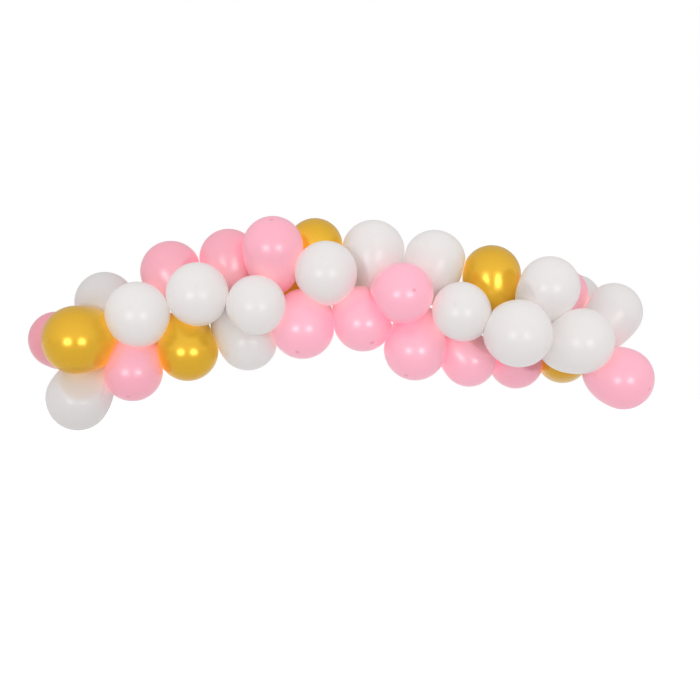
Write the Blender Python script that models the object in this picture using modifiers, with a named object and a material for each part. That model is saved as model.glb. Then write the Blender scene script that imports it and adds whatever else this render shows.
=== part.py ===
"""Balloon garland: 34 latex balloons tied by their necks to a clear garland strip.

X runs along the garland, Z is up and -Y is the side that faces the room.
The origin is on the upper face of the strip, at the crown of the arch, in the middle of its width.
Metres throughout.
"""

import math

import bmesh
import bpy
import numpy as np
from mathutils import Vector

# Balloons
BALLOON_DIAMETER = 0.22    # widest ring of a balloon of girth 1
PRESSED_IN = 0.05          # share of the centre distance that two touching balloons give up
CONTACT_GAP = 0.0003       # between two balloons pressed together
PEAR_POWER = 0.25          # fullness of a neck half as short as the crown half: 0.5 is a sphere
PEAR_TAPER = 0.4           # how much leaner the neck half gets as it grows longer

# Necks and knots
NECK_DIAMETER = 0.009
NECK_LENGTH = 0.008        # least, from the bend over the hole out to the taper
NECK_RISE = 0.008          # height of the bend over the strip
KNOT_DIAMETER = 0.013
KNOT_LENGTH = 0.011
TAIL_DIAMETER = 0.009      # rolled lip at the end of the knot

# Strip
STRIP_WIDTH = 0.022
STRIP_THICKNESS = 0.0012
HOLE_PITCH = 0.040         # also the length of the strip's flat links
HOLE_CLEARANCE = 0.0005    # around a neck
HANGING_HOLE = 0.005       # for a line or a hook's pin
HANGING_HOLE_OFFSET = 0.010
STRIP_CLEARANCE = 0.003    # between the strip and a balloon's body
STANDOFF = 1.12            # nearest a balloon's centre comes to the strip, in its radii
PIN_LENGTH = 4 * STRIP_THICKNESS  # of the pins that cut the strip's holes

# The arch, in balloon diameters: how far each side reaches from the crown and how far it drops
FLAT_CROWN = 0.3
LEFT_REACH = 4.2
LEFT_DROP = 1.05
LEFT_POWER = 2.6
RIGHT_REACH = 4.2
RIGHT_DROP = 1.25
RIGHT_POWER = 1.3
CURVE_SPAN = 1.5           # how far the curve is drawn either way, in its longer reach
CURVE_STEPS = 6000

# Layers, in balloon diameters
LAYER_STEP = 0.15          # depth between two layers before the balloons settle
MIDDLE_LAYER = -0.18       # depth of layer 0, in front of the strip
SETTLING_SHARE = 0.3       # share of an overlap that one round of settling takes away
SETTLING_ROUNDS = 400

# Facets
NECK_SIDES = 6
SIDES = 2 * NECK_SIDES
CROWN_RINGS = (32, 62, 90)             # degrees from the crown
NECK_RINGS = (0.35, 0.62, 0.82, 0.94)  # shares of the neck half
SHARP_ANGLE = 45
FIRST_SIDE = Vector((0.0, 1.0, 0.3))   # a balloon's first side starts square to this and its axis

# Contact faces
CORE_SHARES = (1.0, 0.95, 0.9, 0.8, 0.65, 0.5, 0.35)  # widths tried for two balloons' cores
SEARCH_ROUNDS = 400        # steps towards the nearest points of two cores
PRESSING_ROUNDS = 12       # times a point goes round the faces that press on it

COLOURS = {
    "white": dict(rgb=(0.80, 0.78, 0.77), metallic=0.0, roughness=0.38),
    "pink": dict(rgb=(0.93, 0.43, 0.53), metallic=0.0, roughness=0.32),
    "gold": dict(rgb=(0.76, 0.47, 0.06), metallic=0.75, roughness=0.30),
    "clear": dict(rgb=(0.90, 0.93, 0.94), metallic=0.0, roughness=0.15),
}

# One row a balloon, from the left end to the right: the strip link that it is tied to, its colour,
# its place, how far its centre lies across and up from the crown of the arch, its girth, all in
# balloon diameters, and its layer, from -4 nearest the room to 4 nearest the wall.
LAYOUT = (
    (-24, "pink", "far_left", -4.73, -0.73, 0.92, 2),
    (-22, "white", "low_left", -4.28, -1.69, 1.04, -1),
    (-21, "gold", "left", -4.26, -0.74, 1.09, -2),
    (-20, "white", "back_left", -3.92, -0.11, 0.99, 2),
    (-19, "pink", "low_1", -3.39, -1.24, 0.98, -2),
    (-18, "white", "front_1", -3.28, -0.33, 1.04, -3),
    (-15, "gold", "low_1", -2.50, -0.91, 0.99, -1),
    (-14, "pink", "top_1", -2.81, 0.39, 1.00, 0),
    (-13, "white", "front_2", -2.31, 0.00, 1.00, -3),
    (-11, "white", "low_2", -1.53, -0.76, 0.95, -1),
    (-10, "pink", "top_2", -1.86, 0.61, 0.96, 0),
    (-8, "white", "front_3", -1.36, -0.19, 0.95, -3),
    (-7, "gold", "inner", -0.85, 0.13, 0.90, 3),
    (-6, "pink", "top_3", -1.11, 0.77, 0.98, -1),
    (-3, "pink", "low_2", -0.63, -0.53, 1.03, -2),
    (-2, "gold", "top_1", -0.44, 0.82, 0.91, 2),
    (-1, "white", "front_4", -0.25, 0.35, 1.00, -3),
    (1, "pink", "low_3", 0.35, -0.45, 0.95, -1),
    (2, "white", "top_1", 0.52, 0.72, 1.03, 0),
    (4, "pink", "front_1", 0.99, 0.01, 0.96, -3),
    (7, "white", "top_2", 1.53, 0.56, 1.02, 0),
    (8, "pink", "low_4", 1.20, -0.89, 1.01, -1),
    (9, "pink", "low_5", 2.10, -1.06, 0.89, 0),
    (12, "white", "front_5", 1.92, -0.28, 0.93, -4),
    (14, "gold", "top_2", 2.47, 0.34, 0.96, 0),
    (15, "white", "front_6", 2.83, -0.64, 1.07, -3),
    (16, "pink", "low_6", 2.92, -1.09, 0.91, 0),
    (17, "white", "top_3", 3.35, 0.11, 0.98, -1),
    (18, "pink", "back_right", 3.64, 0.01, 0.90, 2),
    (19, "white", "front_7", 3.86, -0.76, 1.04, -3),
    (20, "white", "back_right", 3.97, -0.07, 0.90, 4),
    (21, "gold", "low_2", 3.73, -1.01, 0.90, 2),
    (22, "white", "top_4", 4.48, -0.28, 0.95, 0),
    (23, "pink", "far_right", 4.56, -1.37, 0.99, -1),
)
END_LINKS = (LAYOUT[0][0] - 1, LAYOUT[-1][0] + 1)  # nothing but a hanging hole in these two


def clear_scene():
    for obj in list(bpy.data.objects):
        bpy.data.objects.remove(obj, do_unlink=True)


def new_collection(name):
    collection = bpy.data.collections.new(name)
    bpy.context.scene.collection.children.link(collection)
    return collection


def plain_material(name):
    values = COLOURS[name]
    material = bpy.data.materials.new(f"{name}_plain")
    material.use_nodes = True
    shader = material.node_tree.nodes["Principled BSDF"]
    shader.inputs["Base Color"].default_value = (*values["rgb"], 1.0)
    shader.inputs["Metallic"].default_value = values["metallic"]
    shader.inputs["Roughness"].default_value = values["roughness"]
    return material


def arch_drop(across):
    """How far the strip has dropped at a distance across from the crown: nothing along the flat
    crown, then a power of the way from there to the end of that side."""
    left = across < 0
    reach = np.where(left, LEFT_REACH, RIGHT_REACH) * BALLOON_DIAMETER
    drop = np.where(left, LEFT_DROP, RIGHT_DROP) * BALLOON_DIAMETER
    power = np.where(left, LEFT_POWER, RIGHT_POWER)
    flat = FLAT_CROWN * BALLOON_DIAMETER
    return drop * (np.maximum(np.abs(across) - flat, 0.0) / (reach - flat)) ** power


def strip_folds():
    """Points (x, z) of the strip's middle plane where one flat link meets the next."""
    farthest = CURVE_SPAN * max(LEFT_REACH, RIGHT_REACH) * BALLOON_DIAMETER
    across = np.linspace(-farthest, farthest, CURVE_STEPS + 1)
    height = -arch_drop(across) - STRIP_THICKNESS / 2
    along = np.concatenate([[0.0], np.cumsum(np.hypot(np.diff(across), np.diff(height)))])
    along -= np.interp(0.0, across, along)
    wanted = (np.arange(END_LINKS[0], END_LINKS[1] + 2) - 0.5) * HOLE_PITCH
    x = np.interp(wanted, along, across)
    return np.stack([x, np.interp(x, across, height)], axis=1)


def link_frame(folds, link):
    """Middle of a link, the way that it runs and its upward normal."""
    first, last = folds[link - END_LINKS[0]], folds[link - END_LINKS[0] + 1]
    middle = (first + last) / 2
    run = Vector((last[0] - first[0], 0.0, last[1] - first[1])).normalized()
    return Vector((middle[0], 0.0, middle[1])), run, Vector((-run.z, 0.0, run.x))


def settled_depths(places, radii, layers, folds):
    """Depth of each balloon. It starts at its layer and is pushed along Y until no two balloons
    are nearer than their squash allows and each stands off from the strip on its own side."""
    count = len(radii)
    first, second = np.triu_indices(count, 1)
    apart = np.linalg.norm(places[first] - places[second], axis=1)
    room = (1 - PRESSED_IN) * (radii[first] + radii[second])
    near = apart < room
    first, second, apart, room = first[near], second[near], apart[near], room[near]
    order = np.where(layers[second] >= layers[first], 1.0, -1.0)
    wanted = np.sqrt(room**2 - apart**2)

    from_strip = np.linalg.norm(places[:, None] - folds[None], axis=2).min(axis=1)
    clear = np.sqrt(np.maximum((STANDOFF * radii + STRIP_WIDTH / 2) ** 2 - from_strip**2, 0.0))
    side = np.where(layers < 0, -1.0, 1.0)

    depths = (MIDDLE_LAYER + layers * LAYER_STEP) * BALLOON_DIAMETER
    for _ in range(SETTLING_ROUNDS):
        lack = np.maximum(wanted - order * (depths[second] - depths[first]), 0.0)
        push = side * np.maximum(clear - side * depths, 0.0)
        np.add.at(push, first, -order * lack)
        np.add.at(push, second, order * lack)
        depths = depths + SETTLING_SHARE * push
    return depths


class Balloon:
    """One balloon as rings of points: the crown half is a hemisphere, the neck half a pear, then
    a neck that bends over the strip, goes through its hole and ends in a knot."""

    def __init__(self, colour, place, centre, radius, hole, run, normal):
        self.name = f"balloon_{colour}_{place}"
        self.colour = colour
        out = normal if (centre - hole).dot(normal) >= 0 else -normal
        bend = hole + out * NECK_RISE
        sideways = centre - bend
        sideways = (sideways - run * sideways.dot(run)).normalized()
        strip_reach = (
            abs(sideways.y) * STRIP_WIDTH / 2
            + abs(sideways.dot(normal)) * STRIP_THICKNESS / 2
            + STRIP_CLEARANCE
        )
        to_strip_edge = strip_reach - (bend - hole).dot(sideways)
        neck_start = bend + sideways * max(NECK_LENGTH, to_strip_edge)
        self.axis = (centre - neck_start).normalized()
        self.length = (centre - neck_start).length
        self.centre = centre
        self.radius = radius
        self.rings = []
        self.hard = []
        across = self.axis.cross(FIRST_SIDE).normalized()
        for degrees in CROWN_RINGS:
            turn = math.radians(degrees)
            self.add_ring(
                centre + self.axis * radius * math.cos(turn),
                self.axis, across, radius * math.sin(turn), SIDES,
            )
        power = PEAR_POWER + PEAR_TAPER * (self.length / radius - 1)
        for share in NECK_RINGS:
            width = math.hypot(radius * (1 - share**2) ** power, NECK_DIAMETER / 2)
            self.add_ring(
                centre - self.axis * self.length * share, self.axis, across, width, SIDES
            )
        under = STRIP_THICKNESS / 2 + CONTACT_GAP
        upright = hole + out * NECK_RISE / 3
        turning = (neck_start + 2 * bend + upright) / 4
        path = (
            (neck_start, self.axis, NECK_DIAMETER),
            (turning, (sideways + out).normalized(), NECK_DIAMETER),
            (upright, out, NECK_DIAMETER),
            (hole - out * under, out, NECK_DIAMETER),
            (hole - out * (under + KNOT_LENGTH / 2), out, KNOT_DIAMETER),
            (hole - out * (under + KNOT_LENGTH), out, TAIL_DIAMETER),
        )
        for point, towards, diameter in path:
            across = (across - towards * across.dot(towards)).normalized()
            self.add_ring(point, towards, across, diameter / 2, NECK_SIDES)
        self.crown = centre + self.axis * radius
        self.planes = [(-sideways, -(hole.dot(sideways) + strip_reach))]

    def add_ring(self, middle, towards, across, radius, sides):
        other = towards.cross(across)
        turns = [2 * math.pi * i / sides for i in range(sides)]
        self.rings.append(
            [middle + (across * math.cos(t) + other * math.sin(t)) * radius for t in turns]
        )
        self.hard.append(sides == NECK_SIDES)

    def points(self, hard_only=False):
        found = [] if hard_only else [self.crown]
        for ring, hard in zip(self.rings, self.hard):
            if hard or not hard_only:
                found += ring
        return np.array(found)

    def core(self, share):
        """The balloon drawn in towards its own axis to a share of its width. Necks stay."""
        points = self.points() - np.array(self.centre)
        axis = np.array(self.axis)
        along = points @ axis
        aside = points - along[:, None] * axis
        soft = ~np.concatenate([[False]] + [[h] * len(r) for r, h in zip(self.rings, self.hard)])
        aside = np.where(soft[:, None], aside * share, aside)
        along = np.where(along > 0, along * share, along)
        return aside + along[:, None] * axis + np.array(self.centre)

    def pressed(self, point):
        """The point moved behind each plane that a neighbour presses on."""
        for _ in range(PRESSING_ROUNDS):
            for normal, offset in self.planes:
                point = point - normal * max(point.dot(normal) - offset, 0.0)
        return point


def nearest_points(first, second):
    """Nearest points of two convex point clouds, by steps towards the farthest corner of their
    difference, each as long as brings the gap down most."""
    a, b = first.mean(axis=0), second.mean(axis=0)
    for _ in range(SEARCH_ROUNDS):
        gap = b - a
        to_a = first[np.argmax(first @ gap)]
        to_b = second[np.argmin(second @ gap)]
        step = (to_b - to_a) - gap
        length = step @ step
        share = min(max(-(gap @ step) / length, 0.0), 1.0) if length > 0 else 0.0
        if share <= 0:
            break
        a = a + (to_a - a) * share
        b = b + (to_b - b) * share
    return a, b


def contact_plane(one, other):
    """The plane between two balloons that leaves each the most room: its normal, and the range of
    offsets that cuts through neither neck. None if the balloons are apart already."""
    best = None
    for share in CORE_SHARES:
        a, b = nearest_points(one.core(share), other.core(share))
        size = np.linalg.norm(b - a)
        if size < CONTACT_GAP:
            continue
        normal = (b - a) / size
        near_side = (one.points() @ normal).max()
        far_side = (other.points() @ normal).min()
        least = (one.points(hard_only=True) @ normal).max() + CONTACT_GAP / 2
        most = (other.points(hard_only=True) @ normal).min() - CONTACT_GAP / 2
        if near_side < far_side - CONTACT_GAP:
            return None
        if least <= most and (best is None or near_side - far_side < best[0]):
            best = (near_side - far_side, normal, (near_side + far_side) / 2, least, most)
    return best


def press_together(one, other):
    """Gives two balloons that would overlap a flat contact face each, half a gap from a plane
    between them. A neck keeps its shape, and the other balloon gives way."""
    reach = one.length + one.radius + other.length + other.radius
    if (one.centre - other.centre).length > reach:
        return
    found = contact_plane(one, other)
    if found is None:
        return
    _, normal, middle, least, most = found
    middle = min(max(middle, least), most)
    facing = Vector(normal)
    one.planes.append((facing, middle - CONTACT_GAP / 2))
    other.planes.append((-facing, -(middle + CONTACT_GAP / 2)))


def loft(mesh, first, second):
    """Faces between two rings, the second with as many points or half as many."""
    count, fewer = len(first), len(second)
    for i in range(count):
        j = (i + 1) % count
        if count == fewer:
            mesh.faces.new((first[i], second[i], second[j], first[j]))
        elif i % 2 == 0:
            mesh.faces.new((first[i], second[i // 2], first[j]))
        else:
            mesh.faces.new((first[i], second[i // 2], second[(i // 2 + 1) % fewer], first[j]))


def balloon_object(balloon, material, collection):
    mesh = bmesh.new()
    pole = mesh.verts.new(balloon.pressed(balloon.crown))
    rings = [
        [mesh.verts.new(point if hard else balloon.pressed(point)) for point in ring]
        for ring, hard in zip(balloon.rings, balloon.hard)
    ]
    for i in range(SIDES):
        mesh.faces.new((pole, rings[0][i], rings[0][(i + 1) % SIDES]))
    for first, second in zip(rings, rings[1:]):
        loft(mesh, first, second)
    mesh.faces.new(reversed(rings[-1]))
    bmesh.ops.triangulate(mesh, faces=mesh.faces)
    bmesh.ops.recalc_face_normals(mesh, faces=mesh.faces)
    return mesh_object(balloon.name, mesh, material, collection)


def mesh_object(name, mesh, material, collection):
    data = bpy.data.meshes.new(name)
    mesh.to_mesh(data)
    mesh.free()
    data.shade_smooth()
    data.set_sharp_from_angle(angle=math.radians(SHARP_ANGLE))
    obj = bpy.data.objects.new(name, data)
    data.materials.append(material)
    collection.objects.link(obj)
    return obj


def hole_cutter(mesh, centre, normal, radius):
    """A six-sided pin through the strip."""
    made = bmesh.ops.create_cone(
        mesh, cap_ends=True, segments=NECK_SIDES, radius1=radius, radius2=radius,
        depth=PIN_LENGTH,
    )
    turn = normal.to_track_quat("Z", "Y").to_matrix()
    bmesh.ops.rotate(mesh, verts=made["verts"], matrix=turn)
    bmesh.ops.translate(mesh, verts=made["verts"], vec=centre)


def strip_object(folds, material, collection, cutters):
    mesh = bmesh.new()
    near, far = (
        [mesh.verts.new((x, side * STRIP_WIDTH / 2, z)) for x, z in folds] for side in (-1, 1)
    )
    for i in range(len(folds) - 1):
        mesh.faces.new((near[i], near[i + 1], far[i + 1], far[i]))
    strip = mesh_object("garland_strip", mesh, material, collection)
    wall = strip.modifiers.new("thickness", "SOLIDIFY")
    wall.thickness = STRIP_THICKNESS
    wall.offset = 0.0
    wall.use_even_offset = True

    pins = bmesh.new()
    neck_hole = (NECK_DIAMETER / 2 + HOLE_CLEARANCE) / math.cos(math.pi / NECK_SIDES)
    for row in LAYOUT:
        centre, _, normal = link_frame(folds, row[0])
        hole_cutter(pins, centre, normal, neck_hole)
    for link, way in ((END_LINKS[0], -1), (0, -1), (END_LINKS[1], 1)):
        centre, run, normal = link_frame(folds, link)
        hole_cutter(pins, centre + run * way * HANGING_HOLE_OFFSET, normal, HANGING_HOLE / 2)
    cutter = mesh_object("strip_holes", pins, material, cutters)
    cutter.hide_render = True
    cutter.display_type = "WIRE"
    holes = strip.modifiers.new("holes", "BOOLEAN")
    holes.operation = "DIFFERENCE"
    holes.solver = "EXACT"
    holes.object = cutter


def main():
    clear_scene()
    parts = new_collection("balloon_garland")
    cutters = new_collection("cutters")
    materials = {name: plain_material(name) for name in COLOURS}

    folds = strip_folds()
    places = np.array([row[3:5] for row in LAYOUT]) * BALLOON_DIAMETER
    radii = np.array([row[5] for row in LAYOUT]) * BALLOON_DIAMETER / 2
    layers = np.array([row[6] for row in LAYOUT], float)
    depths = settled_depths(places, radii, layers, folds)

    balloons = []
    for row, place, radius, depth in zip(LAYOUT, places, radii, depths):
        centre = Vector((place[0], depth, place[1]))
        balloons.append(
            Balloon(row[1], row[2], centre, radius, *link_frame(folds, row[0]))
        )
    for i, one in enumerate(balloons):
        for other in balloons[i + 1:]:
            press_together(one, other)
    for balloon in balloons:
        balloon_object(balloon, materials[balloon.colour], parts)
    strip_object(folds, materials["clear"], parts, cutters)


main()
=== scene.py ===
# Balloon garland: pressed latex balloons on a clear strip, in soft studio light

import math

import bpy
import numpy as np
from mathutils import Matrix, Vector


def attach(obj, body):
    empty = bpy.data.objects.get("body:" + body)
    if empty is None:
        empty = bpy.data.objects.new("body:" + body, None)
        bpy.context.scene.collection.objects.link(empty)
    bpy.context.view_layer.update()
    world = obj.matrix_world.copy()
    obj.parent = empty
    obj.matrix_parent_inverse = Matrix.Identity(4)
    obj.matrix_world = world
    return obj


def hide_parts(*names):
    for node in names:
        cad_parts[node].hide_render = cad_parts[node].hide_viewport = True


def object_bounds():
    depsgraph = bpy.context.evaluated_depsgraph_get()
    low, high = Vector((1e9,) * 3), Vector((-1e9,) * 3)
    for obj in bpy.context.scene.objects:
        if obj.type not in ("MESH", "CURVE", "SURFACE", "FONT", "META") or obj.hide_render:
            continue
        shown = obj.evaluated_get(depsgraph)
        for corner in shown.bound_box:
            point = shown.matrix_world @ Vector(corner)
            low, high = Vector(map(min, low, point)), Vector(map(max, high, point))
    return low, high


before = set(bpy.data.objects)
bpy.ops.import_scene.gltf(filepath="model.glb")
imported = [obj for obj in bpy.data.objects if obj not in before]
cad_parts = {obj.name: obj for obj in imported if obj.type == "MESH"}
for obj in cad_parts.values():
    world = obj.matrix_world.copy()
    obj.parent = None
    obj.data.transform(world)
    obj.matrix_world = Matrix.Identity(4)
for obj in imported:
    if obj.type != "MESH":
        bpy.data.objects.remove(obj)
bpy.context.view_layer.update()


# Shader graphs

# A socket that takes arithmetic: each operator adds its node and gives that node's socket
class Socket:
    def __init__(self, graph, out):
        self.graph = graph
        self.out = out

    def __add__(self, other):
        return self.graph.combine("ADD", self, other)

    def __radd__(self, other):
        return self.graph.combine("ADD", other, self)

    def __sub__(self, other):
        return self.graph.combine("SUBTRACT", self, other)

    def __rsub__(self, other):
        return self.graph.combine("SUBTRACT", other, self)

    def __mul__(self, other):
        return self.graph.combine("MULTIPLY", self, other)

    def __rmul__(self, other):
        return self.graph.combine("MULTIPLY", other, self)


# The node tree of one material, or of the world
class Graph:
    def __init__(self, name, holders=bpy.data.materials, shader="Principled BSDF"):
        self.holder = holders.new(name)
        self.holder.use_nodes = True
        self.tree = self.holder.node_tree
        self.shader = self.tree.nodes[shader]

    # Any node, from its type, its settings and what goes into its sockets
    def node(self, kind, settings, sockets, out=0):
        made = self.tree.nodes.new(kind)
        for key, value in settings.items():
            setattr(made, key, value)
        for key, value in sockets.items():
            self.feed(made.inputs[key], value)
        return Socket(self, made.outputs[out])

    # A link where the value is a socket, otherwise the plain value
    def feed(self, socket, value):
        if isinstance(value, Socket):
            self.tree.links.new(value.out, socket)
        else:
            socket.default_value = value

    # Vector Math where either side is a vector or a colour, otherwise Math
    def combine(self, operation, first, second):
        wide = any(
            isinstance(s, tuple) or isinstance(s, Socket) and s.out.type in ("VECTOR", "RGBA")
            for s in (first, second)
        )
        if wide:
            first, second = (
                s if isinstance(s, (tuple, Socket)) else (s, s, s) for s in (first, second)
            )
        kind = "ShaderNodeVectorMath" if wide else "ShaderNodeMath"
        return self.node(kind, {"operation": operation}, {0: first, 1: second})

    # Colour between two, by a share from 0 to 1
    def mix(self, share, first, second):
        return self.node(
            "ShaderNodeMix", {"data_type": "RGBA"}, {0: share, 6: first, 7: second}, out=2
        )

    # 0 below low, 1 above high and a smooth step between
    def ramp(self, value, low, high):
        return self.node(
            "ShaderNodeMapRange", {"interpolation_type": "SMOOTHSTEP"},
            {"Value": value, "From Min": low, "From Max": high},
        )

    # What the mesh holds at each point: a number from Fac, a colour from Color
    def attribute(self, name, out="Fac"):
        return self.node("ShaderNodeAttribute", {"attribute_name": name}, {}, out=out)

    # Clouds from 0 to 1 on the object's own coordinates, scale of them to a metre
    def noise(self, scale, detail):
        place = self.node("ShaderNodeTexCoord", {}, {}, out="Object")
        return self.node(
            "ShaderNodeTexNoise", {}, {"Vector": place, "Scale": scale, "Detail": detail}
        )

    # A normal that leans as if the surface rose by height times distance
    def bump(self, height, distance, strength):
        return self.node(
            "ShaderNodeBump", {},
            {"Height": height, "Distance": distance, "Strength": strength},
        )

    # What varies over the surface is linked and what doesn't is set on the shader
    def finish(self, linked, fixed):
        for key, value in linked.items():
            self.feed(self.shader.inputs[key], value)
        for key, value in fixed.items():
            self.shader.inputs[key].default_value = value
        return self.holder


# Measuring the strip

stripLook = dict(
    node="garland_strip",
    width=0.022, thickness=0.0012,
    outerShare=0.99,        # corners past this share of the half width lie on a long edge
    foldGap=0.010,          # corners nearer than this along the strip belong to one fold
)


# The different corners of a node's solid, one row each, to the micrometre
def cornersOf(name):
    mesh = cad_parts[name].data
    flat = np.empty(len(mesh.vertices) * 3)
    mesh.vertices.foreach_get("co", flat)
    return np.unique(flat.reshape(-1, 3).round(6), axis=0)


# Points of the strip's middle plane where its flat links meet, from left to right: the mean
# of the corners on the long edges, gathered where they stand close together along the strip
def foldsOf(name):
    corners = cornersOf(name)
    across = np.abs(corners[:, 1])
    outer = corners[across > stripLook["outerShare"] * across.max()]
    outer = outer[np.argsort(outer[:, 0])]
    breaks = np.flatnonzero(np.diff(outer[:, 0]) > stripLook["foldGap"]) + 1
    return np.array([group.mean(axis=0) for group in np.split(outer, breaks)])


# The length of each row made 1
def unit(vectors):
    return vectors / np.linalg.norm(vectors, axis=-1, keepdims=True)


folds = foldsOf(stripLook["node"])
linkRuns = unit(np.diff(folds, axis=0))
linkNormals = np.stack([-linkRuns[:, 2], 0 * linkRuns[:, 0], linkRuns[:, 0]], axis=1)
linkMiddles = (folds[1:] + folds[:-1]) / 2
print(f"strip measured: {len(linkMiddles)} links")


# Balloon surfaces

nodePrefix = "balloon_"
balloonLook = dict(
    # the sphere in a solid
    seed=5, spheresTried=4000, sphereSlack=0.0001, smallest=0.06, largest=0.16,
    flatBox=1e-6,                   # four corners that span less are too near to flat
    nearHole=0.014, bodyFrom=0.030, # of the hole: neck and knot within, body beyond
    # the mesh
    sides=64, crownRings=26, neckHalfRings=34, neckRings=16, knotRings=22,
    turnFrom=(0.0, 1.0, 0.3),       # the rings start square to this
    # the body
    swell=1.008,
    pearPower=0.21,                 # 0.5 is a sphere, and less is fuller towards the neck
    pearTaper=0.35,                 # what a longer balloon adds to the power
    # the neck and the knot
    neckRadius=0.0045, neckRise=0.008, neckLength=0.008, mouthShare=1 / 3,
    knotStart=0.0009, knotLength=0.011, knotRadius=0.0062, tailRadius=0.0042,
    rollAt=0.28, rollHalf=0.34, waistAt=0.6, waistShare=0.55, lipRun=0.32, lipPower=1.5,
    # contact
    stripGap=0.003, contactGap=0.0005,
    rounding=0.0022, roundingReach=6, pressingRounds=12,
    coreShares=(1.0, 0.95, 0.9, 0.8, 0.65, 0.5, 0.35),
    searchRounds=300, smallestStep=1e-7,
    coarseRings=2, coarsePoints=4,  # one in so many is enough to find a contact
)
# the pearPower of balloons whose neck half is fuller or leaner than the rest
fullness = dict(
    white_low_left=0.38, white_low_2=0.18, white_front_4=0.38, white_top_2=0.24,
    white_top_3=0.40,
    pink_low_1=0.17, pink_low_3=0.15, pink_low_4=0.10, pink_low_5=0.42, pink_front_1=0.15,
    pink_far_right=0.36,
    gold_low_1=0.16, gold_top_2=0.30,
)
# how far the skin of a balloon goes to its shade colour, for those that get less light
shades = dict(
    white_low_left=0.45, white_back_left=0.65, white_low_2=0.15, white_top_4=0.15,
    white_back_right=0.50,
    pink_far_left=0.85, pink_top_1=0.45, pink_top_2=0.45, pink_top_3=0.20, pink_low_1=0.30,
    pink_low_6=0.20, pink_back_right=0.40, pink_far_right=0.10,
    gold_low_2=0.10,
)
# painted glow in the emission, for the light that balloons pass to each other: a balloon's
# colour, then its neighbour's
glowLook = dict(
    wrap=0.30,      # added to the cosine, so that the glow reaches round the side
    power=1.6,      # more keeps it closer to the contact
    reach=3,        # neighbours farther than this many radii give none
    white=dict(white=(0.13, 0.12, 0.115), pink=(0.17, 0.12, 0.11), gold=(0.10, 0.10, 0.10)),
    pink=dict(white=(0.24, 0.16, 0.14), pink=(0.28, 0.11, 0.13), gold=(0.34, 0.14, 0.06)),
    gold=dict(white=(0.26, 0.15, 0.02), pink=(0.34, 0.13, 0.02), gold=(0.32, 0.14, 0.01)),
)


# The sphere that most corners lie on: of many spheres through four corners each, the one
# that passes nearest to the most, and then the best fit to those
def sphereOf(corners):
    look = balloonLook
    picks = np.random.default_rng(look["seed"]).integers(
        0, len(corners), (look["spheresTried"], 4)
    )
    four = corners[picks]
    edges = 2 * (four[:, 1:] - four[:, :1])
    squares = (four**2).sum(axis=2)
    solid = np.abs(np.linalg.det(edges)) > look["flatBox"]
    edges, squares, four = edges[solid], squares[solid], four[solid]
    centres = np.linalg.solve(edges, (squares[:, 1:] - squares[:, :1])[..., None])[..., 0]
    radii = np.linalg.norm(four[:, 0] - centres, axis=1)
    far = np.linalg.norm(corners[None] - centres[:, None], axis=2)
    on = np.abs(far - radii[:, None]) < look["sphereSlack"]
    on[(radii < look["smallest"]) | (radii > look["largest"])] = False
    chosen = corners[on[on.sum(axis=1).argmax()]]
    fit = np.linalg.lstsq(
        np.c_[2 * chosen, np.ones(len(chosen))], (chosen**2).sum(axis=1), rcond=None
    )[0]
    return fit[:3], math.sqrt(fit[3] + fit[:3] @ fit[:3]), len(chosen)


# A curve that leaves the first point towards the second and comes from it to the third: the
# quadratic of the three points, without its first point
def smoothPath(first, second, third, count):
    t = np.linspace(0, 1, count + 1)[1:, None]
    return (1 - t) ** 2 * first + 2 * t * (1 - t) * second + t**2 * third


# Rings round a path. A point is the path's point, plus the ring's radius times the cosine of
# its turn along one cross direction and the sine along the other. The cross directions are
# turned as little as the path allows from ring to ring.
def sweep(path, radii, towards, across, sides):
    firsts = []
    for tangent in towards:
        across = unit(across - tangent * (across @ tangent))
        firsts.append(across)
    firsts = np.array(firsts)
    seconds = np.cross(towards, firsts)
    turns = np.linspace(0, 2 * math.pi, sides, endpoint=False)
    rim = (
        firsts[:, None] * np.cos(turns)[None, :, None]
        + seconds[:, None] * np.sin(turns)[None, :, None]
    )
    return path[:, None] + rim * radii[:, None, None]


# Radius of the knot and its tail at a share of their length: the larger of a fat roll, half
# an ellipse, and a tail that is tight up to the waist and then opens to a rolled lip
def knotProfile(share):
    look = balloonLook
    rolled = np.clip(1 - ((share - look["rollAt"]) / look["rollHalf"]) ** 2, 0, 1)
    opened = np.clip((share - look["waistAt"]) / look["lipRun"], 0, 1) ** look["lipPower"]
    waist = look["waistShare"] + (1 - look["waistShare"]) * opened
    return np.maximum(look["knotRadius"] * np.sqrt(rolled), look["tailRadius"] * waist)


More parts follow.
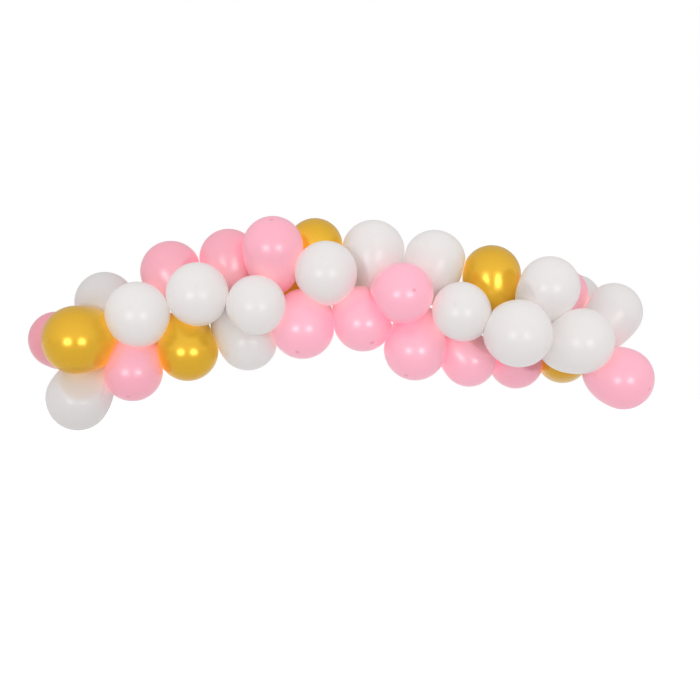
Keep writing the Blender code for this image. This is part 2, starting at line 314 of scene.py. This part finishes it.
# One balloon, measured from its solid: crown half a hemisphere, neck half a pear, a neck
# that bends over the strip and goes through it, and a knot on the strip's other side
class Balloon:
    # Its hole is the one with the most corners near it. Its neck leaves the bend over the
    # hole square to the strip's run, and is long enough to clear the strip's edge.
    def __init__(self, name):
        look = balloonLook
        self.name = name
        self.short = name.removeprefix(nodePrefix)
        self.colour = self.short.split("_")[0]
        corners = cornersOf(name)
        away = np.linalg.norm(corners[:, None] - linkMiddles[None], axis=2)
        link = (away < look["nearHole"]).sum(axis=0).argmax()
        self.hole, run, normal = linkMiddles[link], linkRuns[link], linkNormals[link]
        knotSide = (corners[away[:, link] < look["nearHole"]] - self.hole).mean(axis=0)
        out = normal if knotSide @ normal < 0 else -normal
        self.centre, self.radius, self.fitted = sphereOf(
            corners[away[:, link] > look["bodyFrom"]]
        )
        self.radius *= look["swell"]
        bend = self.hole + out * look["neckRise"]
        sideways = self.centre - bend
        sideways = unit(sideways - run * (sideways @ run))
        reach = (
            abs(sideways[1]) * stripLook["width"] / 2
            + abs(sideways @ normal) * stripLook["thickness"] / 2
            + look["stripGap"]
        )
        toEdge = reach - (bend - self.hole) @ sideways
        start = bend + sideways * max(look["neckLength"], toEdge)
        self.axis = unit(self.centre - start)
        self.length = float(np.linalg.norm(self.centre - start))
        self.planes = [(-sideways, -(self.hole @ sideways + reach))]
        self.surface(start, bend, out)

    # The rings from the crown to the lip. A ring of the crown half is a sphere's. One of the
    # neck half, at a share of the way to the neck, is as wide as
    # sqrt((radius * (1 - share ** 2) ** power) ** 2 + neckRadius ** 2).
    def surface(self, start, bend, out):
        look = balloonLook
        turn = np.linspace(0, math.pi / 2, look["crownRings"] + 1)[1:]
        share = np.sin(np.linspace(0, math.pi / 2, look["neckHalfRings"] + 1)[1:-1])
        power = fullness.get(self.short, look["pearPower"])
        power += look["pearTaper"] * (self.length / self.radius - 1)
        pear = np.hypot(self.radius * (1 - share**2) ** power, look["neckRadius"])
        knotShare = np.linspace(0, 1, look["knotRings"])
        mouth = self.hole + out * look["neckRise"] * look["mouthShare"]
        below = self.hole - out * look["knotStart"]
        neck = smoothPath(start, bend, mouth, look["neckRings"])
        path = np.concatenate([
            self.centre + self.axis * (self.radius * np.cos(turn))[:, None],
            self.centre - self.axis * (self.length * share)[:, None],
            start[None], neck,
            below - out * (look["knotLength"] * knotShare)[:, None],
        ])
        widths = np.concatenate([
            self.radius * np.sin(turn), pear, np.full(len(neck) + 1, look["neckRadius"]),
            knotProfile(knotShare),
        ])
        self.bodyRings = len(turn) + len(share)
        towards = np.concatenate([
            np.repeat(self.axis[None], self.bodyRings + 1, axis=0),
            unit(-np.gradient(neck, axis=0)),
            np.repeat(out[None], len(knotShare), axis=0),
        ])
        self.rings = sweep(
            path, widths, towards, np.cross(self.axis, look["turnFrom"]), look["sides"]
        )
        self.crown = self.centre + self.axis * self.radius
        self.tip = path[-1]
        # along: 0 crown, 1 widest ring, 2 start of the neck, 2.5 at the strip, 3 lip
        self.along = np.concatenate([
            turn / (math.pi / 2), 1 + share,
            np.linspace(2, 2.5, len(neck) + 1), np.linspace(2.5, 3, len(knotShare)),
        ])

    # Every few points of the surface, or of the neck and knot alone
    def cloud(self, hardOnly=False):
        ring, step = balloonLook["coarseRings"], balloonLook["coarsePoints"]
        hard = self.rings[self.bodyRings::ring, ::step].reshape(-1, 3)
        if hardOnly:
            return hard
        body = self.rings[:self.bodyRings:ring, ::step].reshape(-1, 3)
        return np.concatenate([self.crown[None], body, hard])

    # The cloud with its body drawn in towards the axis to a share of its width, and its
    # crown half to the same share of its height. The neck and knot keep their width.
    def core(self, share):
        points = self.cloud() - self.centre
        along = points @ self.axis
        aside = points - along[:, None] * self.axis
        aside[:len(points) - len(self.cloud(hardOnly=True))] *= share
        along = np.where(along > 0, along * share, along)
        return aside + along[:, None] * self.axis + self.centre

    # Painted glow, fed to the emission, for the light that thin latex passes on where balloons
    # crowd
    # together: the sum over the others of a tint times ((radius / distance) ** 2 * (cosine +
    # wrap)) ** power, where the cosine is that of the other's direction from the normal. The tint
    # goes by both colours.
    def glow(self, others):
        points = self.rings.reshape(-1, 3)
        normals = unit(points - self.centre)
        total = np.zeros((len(points), 3))
        for other in others:
            way = other.centre - points
            far = np.linalg.norm(way, axis=1)
            facing = np.clip((way * normals).sum(axis=1) / far + glowLook["wrap"], 0, None)
            share = (other.radius / np.maximum(far, other.radius)) ** 2 * facing
            tint = np.array(glowLook[self.colour][other.colour])
            total += (share ** glowLook["power"])[:, None] * tint
        return total

    # Every point of the body is moved behind each plane that a neighbour or the strip presses
    # on: first with a rounded edge, its distance d becoming
    # (d - sqrt(d * d + rounding ** 2)) / 2, and then as far as is still needed
    def press(self):
        look = balloonLook
        body = np.concatenate([self.crown[None], self.rings[:self.bodyRings].reshape(-1, 3)])
        for normal, offset in self.planes:
            far = body @ normal - offset
            rounded = (far - np.hypot(far, look["rounding"])) / 2
            close = far > -look["roundingReach"] * look["rounding"]
            body += np.where(close, rounded - far, 0)[:, None] * normal
        for _ in range(look["pressingRounds"]):
            for normal, offset in self.planes:
                body -= np.maximum(body @ normal - offset, 0)[:, None] * normal
        self.crown = body[0]
        self.rings[:self.bodyRings] = body[1:].reshape(self.bodyRings, -1, 3)


# Nearest points of two convex clouds, by steps towards the farthest corner of their
# difference, each as long as brings the gap down most
def nearestPoints(first, second):
    a, b = first.mean(axis=0), second.mean(axis=0)
    for _ in range(balloonLook["searchRounds"]):
        gap = b - a
        toA = first[np.argmax(first @ gap)]
        toB = second[np.argmin(second @ gap)]
        step = (toB - toA) - gap
        length = step @ step
        share = min(max(-(gap @ step) / length, 0.0), 1.0) if length > 0 else 0.0
        if share <= balloonLook["smallestStep"]:
            break
        a = a + (toA - a) * share
        b = b + (toB - b) * share
    return a, b


# Gives two balloons that would overlap a flat contact face each, half a gap from the plane
# between them. Planes are tried square to the line between the nearest points of ever
# thinner cores, and the one stays that presses them least and cuts through neither neck.
def pressTogether(one, other):
    gap = balloonLook["contactGap"]
    reach = one.length + one.radius + other.length + other.radius
    if np.linalg.norm(one.centre - other.centre) > reach:
        return
    best = None
    for share in balloonLook["coreShares"]:
        a, b = nearestPoints(one.core(share), other.core(share))
        size = np.linalg.norm(b - a)
        if size < gap:
            continue
        normal = (b - a) / size
        nearSide, farSide = (one.cloud() @ normal).max(), (other.cloud() @ normal).min()
        if nearSide < farSide - gap:
            return
        least = (one.cloud(hardOnly=True) @ normal).max() + gap / 2
        most = (other.cloud(hardOnly=True) @ normal).min() - gap / 2
        if least <= most and (best is None or nearSide - farSide < best[0]):
            middle = min(max((nearSide + farSide) / 2, least), most)
            best = (nearSide - farSide, normal, middle)
    if best is None:
        return
    _, normal, middle = best
    one.planes.append((normal, middle - gap / 2))
    other.planes.append((-normal, -(middle + gap / 2)))


# Faces of rings of points with one pole before the first ring and one after the last
def closedGrid(count, sides):
    i = np.arange(sides)
    j = (i + 1) % sides
    row = 1 + sides * np.arange(count - 1)[:, None]
    quads = np.stack([row + i, row + sides + i, row + sides + j, row + j], axis=2)
    last = 1 + sides * (count - 1)
    caps = np.concatenate([
        np.stack([0 * i, 1 + i, 1 + j], axis=1),
        np.stack([0 * i + last + sides, last + j, last + i], axis=1),
    ])
    return quads.reshape(-1, 4), caps


# A value for each point that the material can read
def addAttribute(mesh, name, kind, field, values):
    layer = mesh.attributes.new(name, kind, "POINT")
    layer.data.foreach_set(field, values.astype(np.float32).ravel())


# The pole at the crown, the rings and the pole at the lip as one closed skin
def balloonObject(balloon, others, material):
    count, sides = balloon.rings.shape[:2]
    points = np.concatenate(
        [balloon.crown[None], balloon.rings.reshape(-1, 3), balloon.tip[None]]
    )
    quads, caps = closedGrid(count, sides)
    mesh = bpy.data.meshes.new(balloon.name + "_skin")
    mesh.from_pydata(points.tolist(), [], quads.tolist() + caps.tolist())
    mesh.shade_smooth()
    along = np.concatenate([[0], np.repeat(balloon.along, sides), [3]])
    # painted shade: the share of the darker shade colour, for balloons that get less light
    shade = np.full(len(points), shades.get(balloon.short, 0.0))
    # painted glow for the light that neighbouring balloons pass on
    glow = balloon.glow(others)
    glow = np.concatenate([glow[:1], glow, glow[-1:]])
    addAttribute(mesh, "along", "FLOAT", "value", along)
    addAttribute(mesh, "shade", "FLOAT", "value", shade)
    addAttribute(mesh, "glow", "FLOAT_COLOR", "color", np.c_[glow, np.ones(len(glow))])
    mesh.materials.append(material)
    obj = bpy.data.objects.new(balloon.name + "_skin", mesh)
    bpy.context.scene.collection.objects.link(obj)
    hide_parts(balloon.name)
    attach(obj, "root")


# Latex

# each colour's shade is a painted shade colour, for balloons that get less light
latexLook = dict(
    white=dict(
        skin=(0.755, 0.725, 0.715), shade=(0.56, 0.53, 0.53),
        deep=(0.71, 0.67, 0.65), crown=(0.66, 0.63, 0.62), spot=0.2,
        metallic=0.0, roughness=0.30, specular=0.28,
    ),
    pink=dict(
        skin=(0.96, 0.43, 0.55), shade=(0.72, 0.26, 0.31),
        deep=(0.86, 0.33, 0.41), crown=(0.74, 0.24, 0.34), spot=0.6,
        metallic=0.0, roughness=0.30, specular=0.65,
    ),
    gold=dict(
        skin=(0.69, 0.39, 0.014), shade=(0.52, 0.26, 0.008),
        deep=(0.68, 0.34, 0.012), crown=(0.55, 0.30, 0.01), spot=0.3,
        metallic=0.45, roughness=0.245, specular=0.50,
    ),
    ior=1.52,
    crownSpot=(0.030, 0.060),       # where the thick spot fades, as the mesh's along
    neckFrom=(1.45, 2.0),           # where the neck's deeper colour comes in
    neckShare=0.8, neckRoughness=0.01,
    cloudScale=9.0, cloudDetail=3.0, cloudEdges=(0.35, 0.65),
    cloudShare=0.05, cloudRoughness=0.02,
    grainScale=900.0, grainDetail=1.0, grainDepth=0.00002, grainStrength=0.4,
)


# Stretched latex: a skin a little deeper towards the neck and in faint clouds, then towards its
# painted shade colour on balloons that get less light, then the crown colour at the thick spot;
# and a very fine grain
def latexMaterial(colour):
    look, values = latexLook, latexLook[colour]
    graph = Graph(colour + "_latex")
    along = graph.attribute("along")
    clouds = graph.ramp(graph.noise(look["cloudScale"], look["cloudDetail"]), *look["cloudEdges"])
    neck = graph.ramp(along, *look["neckFrom"])
    spot = 1.0 - graph.ramp(along, *look["crownSpot"])
    deep = neck * look["neckShare"] + clouds * look["cloudShare"]
    skin = graph.mix(deep, (*values["skin"], 1.0), (*values["deep"], 1.0))
    # painted shade on the balloons that get less light
    skin = graph.mix(graph.attribute("shade"), skin, (*values["shade"], 1.0))
    skin = graph.mix(spot * values["spot"], skin, (*values["crown"], 1.0))
    rough = values["roughness"] + (clouds - 0.5) * look["cloudRoughness"]
    grain = graph.noise(look["grainScale"], look["grainDetail"])
    return graph.finish(
        {
            "Base Color": skin,
            "Roughness": rough + neck * look["neckRoughness"],
            # painted glow: emission where balloons crowd, for the light they pass to each other
            "Emission Color": graph.attribute("glow", out="Color"),
            "Normal": graph.bump(grain, look["grainDepth"], look["grainStrength"]),
        },
        {
            "Metallic": values["metallic"],
            "Emission Strength": 1.0,
            "IOR": look["ior"],
            "Specular IOR Level": values["specular"],
        },
    )


balloons = [Balloon(name) for name in sorted(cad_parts) if name.startswith(nodePrefix)]
print(f"balloons measured: {len(balloons)}, fewest corners on a sphere "
      f"{min(b.fitted for b in balloons)}")
for place, one in enumerate(balloons):
    for other in balloons[place + 1:]:
        pressTogether(one, other)
for balloon in balloons:
    balloon.press()
print("balloons pressed together")
latex = {colour: latexMaterial(colour) for colour in ("white", "pink", "gold")}
for balloon in balloons:
    reach = glowLook["reach"] * balloon.radius
    others = [
        b for b in balloons
        if b is not balloon and np.linalg.norm(b.centre - balloon.centre) < reach
    ]
    balloonObject(balloon, others, latex[balloon.colour])
print("balloons made")


# Clear strip

clearLook = dict(
    colour=(0.90, 0.93, 0.94, 1.0), alpha=0.30, ior=1.5,
    roughness=0.12, streakRoughness=0.12,
    streakScale=140.0, streakDetail=2.0, streakDepth=0.00005, streakStrength=0.3,
)


# Clear film: see-through and glossy, with faint streaks that roughen it
def clearMaterial():
    look = clearLook
    graph = Graph("clear_plastic")
    streaks = graph.noise(look["streakScale"], look["streakDetail"])
    return graph.finish(
        {
            "Roughness": look["roughness"] + streaks * look["streakRoughness"],
            "Normal": graph.bump(streaks, look["streakDepth"], look["streakStrength"]),
        },
        {"Base Color": look["colour"], "Alpha": look["alpha"], "IOR": look["ior"]},
    )


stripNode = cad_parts[stripLook["node"]]
stripNode.data.materials.clear()
stripNode.data.materials.append(clearMaterial())
print("strip made")


# Studio

black, white = (0.0, 0.0, 0.0, 1.0), (1.0, 1.0, 1.0, 1.0)
studio = dict(
    floorDrop=1.75, floorSize=120.0,
    floorColour=(0.95, 0.95, 0.95, 1.0), floorRoughness=0.9, floorGlow=0.40,
    worldSide=0.965, worldFront=0.40, worldTop=-0.02,
    keyTarget=(0.0, 0.0, -0.2), keyDistance=8.5, keyAngle=24.0, keyFall=8.0,
    keySize=3.2, keyPower=235.0,
)
photoView = dict(
    width=700, pixelSize=0.0036,    # pixels across, and metres a pixel in the sized plane
    distance=6.04,                  # from the strip's crown
    sizedPlane=0.04,                # metres in front of the strip
    across=8.5, up=-55.24,          # pixels from the crown to the photo's middle
    farthest=200.0,
)


# A camera or a light at a place, turned to face the target
def aimed(kind, name, place, target):
    data = bpy.data.cameras.new(name) if kind == "CAMERA" else bpy.data.lights.new(name, kind)
    obj = bpy.data.objects.new(name, data)
    obj.location = place
    obj.rotation_euler = (Vector(target) - Vector(place)).to_track_quat("-Z", "Y").to_euler()
    bpy.context.scene.collection.objects.link(obj)
    return obj


# A pale square below the garland, which glows a little to the camera alone
def studioFloor():
    size = studio["floorSize"] / 2
    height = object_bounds()[0][2] - studio["floorDrop"]
    mesh = bpy.data.meshes.new("floor")
    corners = [(x * size, y * size, height) for x, y in ((-1, -1), (1, -1), (1, 1), (-1, 1))]
    mesh.from_pydata(corners, [], [(0, 1, 2, 3)])
    graph = Graph("pale_floor")
    seen = graph.node("ShaderNodeLightPath", {}, {}, out="Is Camera Ray")
    mesh.materials.append(graph.finish({"Emission Color": graph.mix(seen, black, white)}, {
        "Base Color": studio["floorColour"],
        "Roughness": studio["floorRoughness"],
        "Emission Strength": studio["floorGlow"],
    }))
    floor = bpy.data.objects.new("floor", mesh)
    bpy.context.scene.collection.objects.link(floor)


# White to the camera. What it lights with is softer and changes with the direction (x, y, z):
# side light + front share * -y + top share * z.
def studioWorld():
    graph = Graph("studio", bpy.data.worlds, "Background")
    split = "ShaderNodeSeparateXYZ"
    way = graph.node("ShaderNodeTexCoord", {}, {}, out="Generated")
    front = graph.node(split, {}, {"Vector": way}, out="Y") * -studio["worldFront"]
    top = graph.node(split, {}, {"Vector": way}, out="Z") * studio["worldTop"]
    light = front + top + studio["worldSide"]
    seen = graph.node("ShaderNodeLightPath", {}, {}, out="Is Camera Ray")
    strength = light + seen * (1.0 - light)
    bpy.context.scene.world = graph.finish({"Strength": strength}, {"Color": white})


# Two round lamps that look up at the garland, keyAngle to each side of the front and keyFall
# below it
def studioLights():
    turn, fall = math.radians(studio["keyAngle"]), math.radians(studio["keyFall"])
    for name, side in (("key_left", -1), ("key_right", 1)):
        place = (
            side * studio["keyDistance"] * math.sin(turn),
            -studio["keyDistance"] * math.cos(turn),
            studio["keyTarget"][2] - studio["keyDistance"] * math.tan(fall),
        )
        key = aimed("AREA", name, place, studio["keyTarget"])
        key.data.shape = "DISK"
        key.data.size = studio["keySize"]
        key.data.energy = studio["keyPower"]
        key.visible_diffuse = False     # only the glints; the world does the rest


# A camera level with the photo's middle. Its lens is to its sensor as the sized plane's
# distance is to the photo's width there.
def studioCamera():
    view = photoView
    middle = (view["across"] * view["pixelSize"], 0.0, view["up"] * view["pixelSize"])
    camera = aimed("CAMERA", "camera", (middle[0], -view["distance"], middle[2]), middle)
    toPlane = view["distance"] - view["sizedPlane"]
    camera.data.lens = camera.data.sensor_width * toPlane / (view["width"] * view["pixelSize"])
    camera.data.clip_end = view["farthest"]
    bpy.context.scene.camera = camera


studioFloor()
studioWorld()
studioLights()
studioCamera()
bpy.context.scene.view_settings.view_transform = "Standard"
print("studio made")
